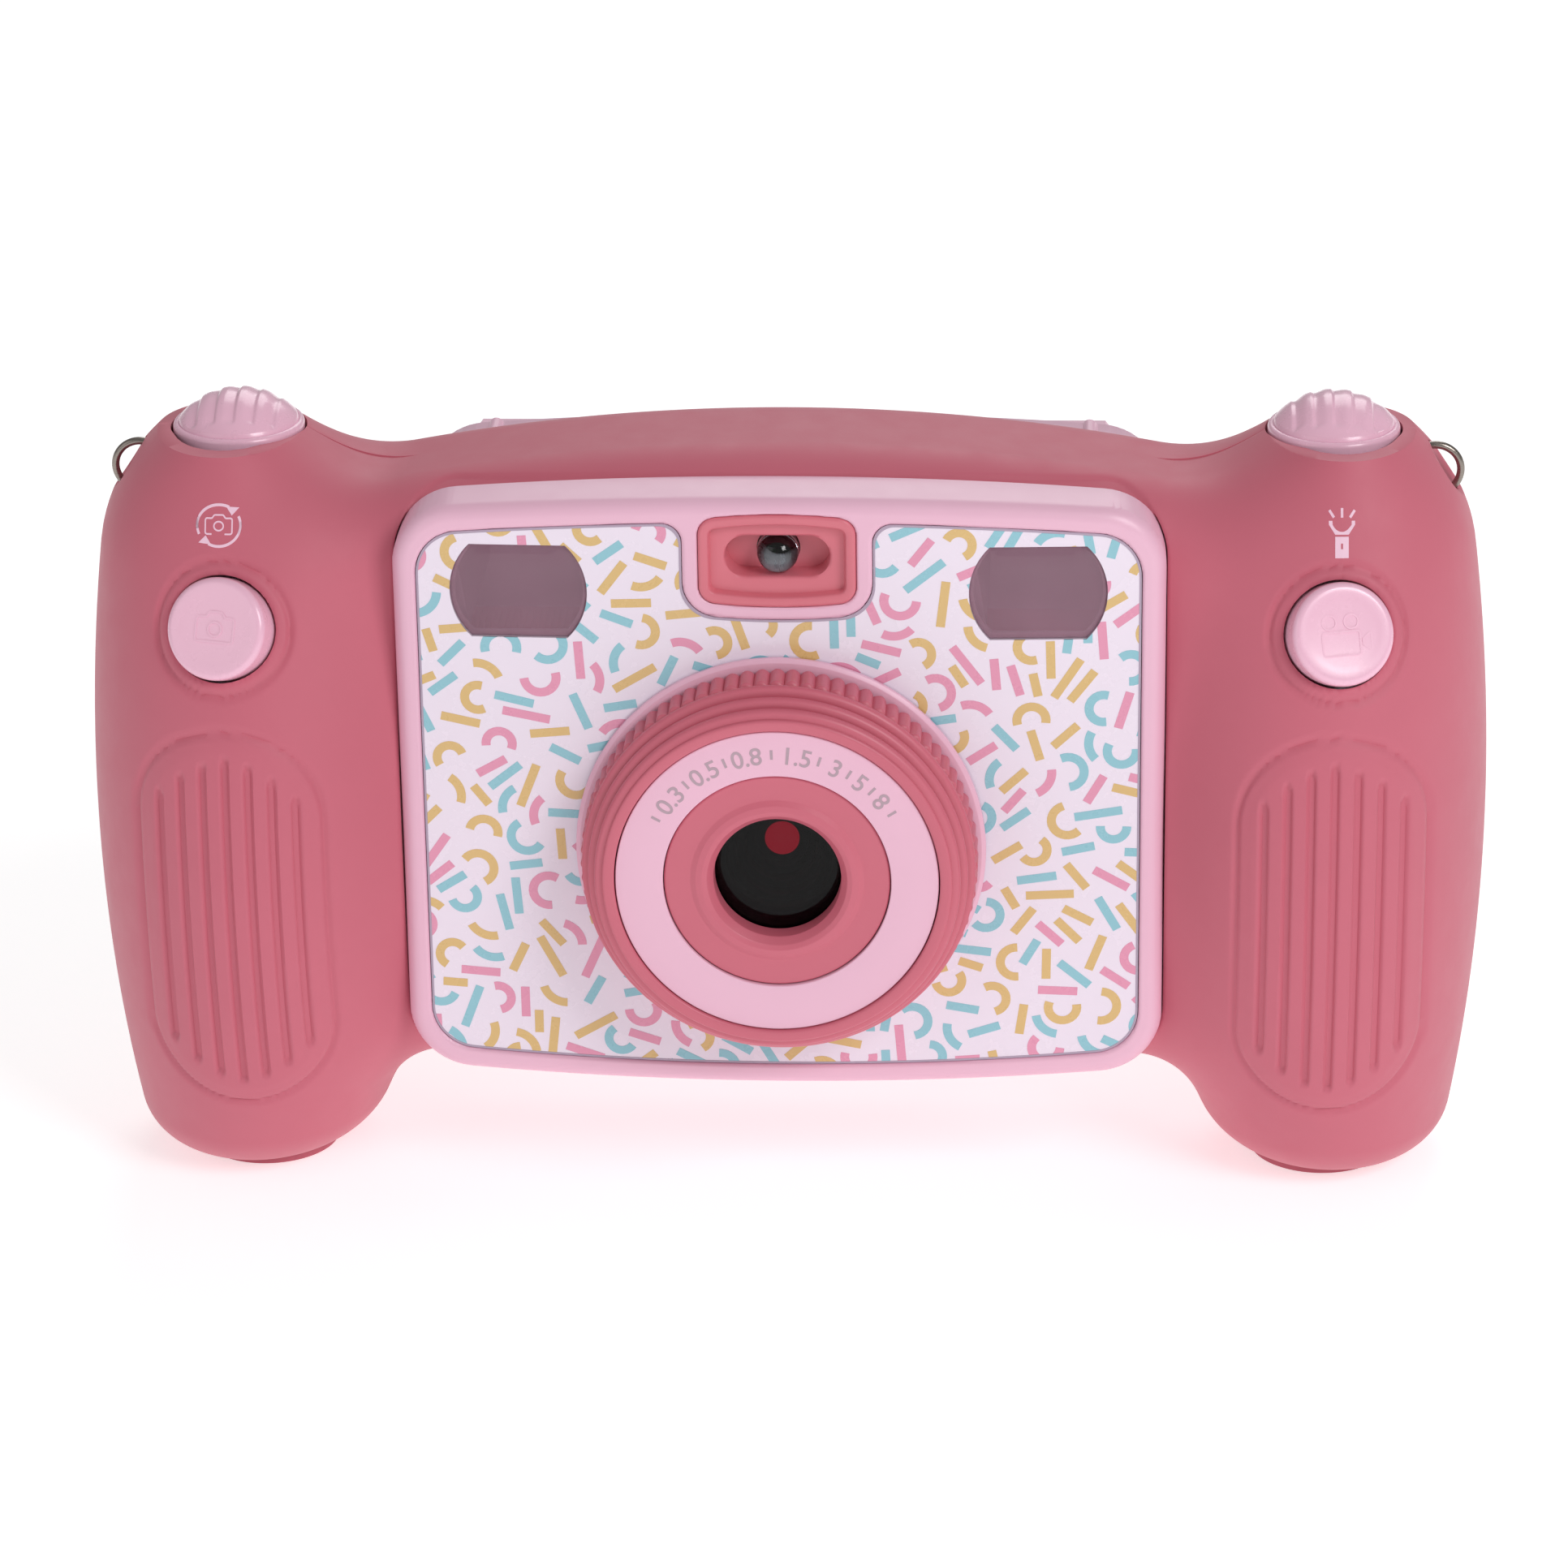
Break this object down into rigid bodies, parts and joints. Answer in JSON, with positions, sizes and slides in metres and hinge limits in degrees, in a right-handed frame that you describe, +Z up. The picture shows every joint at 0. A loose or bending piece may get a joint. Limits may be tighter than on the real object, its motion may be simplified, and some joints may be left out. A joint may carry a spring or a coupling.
{
  "type": "kids digital camera",
  "caption": "Children's digital camera with two upright hand grips, a knurled lens, look-through windows, a lamp and large push buttons.",
  "frame": {"origin": "under the middle of the bounding box, on the plane that the camera stands on", "axes": "+X across the camera towards the right grip as seen from the front, +Y away from the lens towards the screen, +Z up"},
  "size_m": [0.1718, 0.0552, 0.0989],
  "materials": {
    "case_rose": "soft-touch, fine satin",
    "trim_pink": "satin gloss",
    "printed_plate": "clear gloss over a printed sheet",
    "smoke_window": "smoky clear",
    "tube_mauve": "satin",
    "clear_lens": "clear",
    "insert_rose": "satin",
    "led_clear": "clear",
    "circuit_board": "solder mask",
    "barrel_dark": "matt",
    "lens_black": "coated",
    "module_black": "matt",
    "steel_plate": "satin",
    "flat_cable": "amber film",
    "screen_black": "gloss",
    "cell_foil": "foil",
    "lead_red": "matt",
    "lead_black": "matt",
    "loop_steel": "worn bright",
    "screw_steel": "bright",
    "button_pink": "gloss",
    "key_rose": "gloss",
    "cover_rubber": "matt"
  },
  "bodies": {
    "camera_body": {"front_shell": "case_rose", "rear_shell": "case_rose", "front_bezel": "trim_pink", "face_plate": "printed_plate", "window_left": "smoke_window", "window_right": "smoke_window", "viewfinder_tube_left": "tube_mauve", "viewfinder_tube_right": "tube_mauve", "eyepiece_left": "clear_lens", "eyepiece_right": "clear_lens", "flash_insert": "insert_rose", "flash_led": "led_clear", "flash_board": "circuit_board", "lens_flange": "trim_pink", "lens_barrel": "barrel_dark", "lens_face_ring": "trim_pink", "lens_cone": "insert_rose", "lens_glass": "lens_black", "camera_module": "module_black", "main_board": "circuit_board", "board_chips": "module_black", "key_board": "circuit_board", "key_switches": "steel_plate", "lcd_module": "module_black", "lcd_ribbon": "flat_cable", "screen_window": "screen_black", "rear_frame": "trim_pink", "selfie_window": "screen_black", "selfie_camera": "module_black", "speaker": "module_black", "battery": "cell_foil", "battery_lead": "lead_red", "speaker_lead": "lead_black", "usb_socket": "steel_plate", "card_socket": "steel_plate", "port_boards": "circuit_board", "grip_boards": "circuit_board", "grip_switches": "module_black", "strap_loop_left": "loop_steel", "strap_loop_right": "loop_steel", "case_screws": "screw_steel", "board_screws": "screw_steel"},
    "lens_ring_body": {"lens_ring": "case_rose"},
    "top_button_left_body": {"top_button_left": "button_pink"},
    "top_button_right_body": {"top_button_right": "button_pink"},
    "front_button_left_body": {"front_button_left": "button_pink"},
    "front_button_right_body": {"front_button_right": "button_pink"},
    "key_up_body": {"key_up": "button_pink"},
    "key_down_body": {"key_down": "button_pink"},
    "key_left_body": {"key_left": "button_pink"},
    "key_right_body": {"key_right": "button_pink"},
    "key_ok_body": {"key_ok": "key_rose"},
    "key_menu_body": {"key_menu": "key_rose"},
    "key_power_body": {"key_power": "key_rose"},
    "usb_cover_body": {"usb_cover": "cover_rubber"},
    "card_cover_body": {"card_cover": "cover_rubber"}
  },
  "joints": [
    {"name": "lens_ring_turn", "type": "hinge", "parent": "camera_body", "child": "lens_ring_body", "pos_m": [0, 0, 0.0478], "axis": [0, -1, 0], "continuous": true},
    {"name": "top_button_left_press", "type": "slide", "parent": "camera_body", "child": "top_button_left_body", "axis": [0, 0, -1], "range_m": [0, 0.0012], "stiffness_N_per_m": 1200, "springref_m": -0.0003},
    {"name": "top_button_right_press", "type": "slide", "parent": "camera_body", "child": "top_button_right_body", "axis": [0, 0, -1], "range_m": [0, 0.0012], "stiffness_N_per_m": 1200, "springref_m": -0.0003},
    {"name": "front_button_left_press", "type": "slide", "parent": "camera_body", "child": "front_button_left_body", "axis": [0.2243, 0.8996, -0.3746], "range_m": [0, 0.0012], "stiffness_N_per_m": 1200, "springref_m": -0.0003},
    {"name": "front_button_right_press", "type": "slide", "parent": "camera_body", "child": "front_button_right_body", "axis": [-0.2243, 0.8996, -0.3746], "range_m": [0, 0.0012], "stiffness_N_per_m": 1200, "springref_m": -0.0003},
    {"name": "key_up_press", "type": "slide", "parent": "camera_body", "child": "key_up_body", "axis": [0, -1, 0], "range_m": [0, 0.0006], "stiffness_N_per_m": 1500, "springref_m": -0.0003},
    {"name": "key_down_press", "type": "slide", "parent": "camera_body", "child": "key_down_body", "axis": [0, -1, 0], "range_m": [0, 0.0006], "stiffness_N_per_m": 1500, "springref_m": -0.0003},
    {"name": "key_left_press", "type": "slide", "parent": "camera_body", "child": "key_left_body", "axis": [0, -1, 0], "range_m": [0, 0.0006], "stiffness_N_per_m": 1500, "springref_m": -0.0003},
    {"name": "key_right_press", "type": "slide", "parent": "camera_body", "child": "key_right_body", "axis": [0, -1, 0], "range_m": [0, 0.0006], "stiffness_N_per_m": 1500, "springref_m": -0.0003},
    {"name": "key_ok_press", "type": "slide", "parent": "camera_body", "child": "key_ok_body", "axis": [0, -1, 0], "range_m": [0, 0.0006], "stiffness_N_per_m": 1500, "springref_m": -0.0003},
    {"name": "key_menu_press", "type": "slide", "parent": "camera_body", "child": "key_menu_body", "axis": [0, -1, 0], "range_m": [0, 0.0006], "stiffness_N_per_m": 1500, "springref_m": -0.0003},
    {"name": "key_power_press", "type": "slide", "parent": "camera_body", "child": "key_power_body", "axis": [0, -1, 0], "range_m": [0, 0.0006], "stiffness_N_per_m": 1500, "springref_m": -0.0003},
    {"name": "usb_cover_hinge", "type": "hinge", "parent": "camera_body", "child": "usb_cover_body", "pos_m": [-0.0664, 0.0122, 0.0005], "axis": [1, 0, 0], "range_deg": [0, 100]},
    {"name": "card_cover_hinge", "type": "hinge", "parent": "camera_body", "child": "card_cover_body", "pos_m": [0.0664, 0.0122, 0.0005], "axis": [1, 0, 0], "range_deg": [0, 100]}
  ]
}
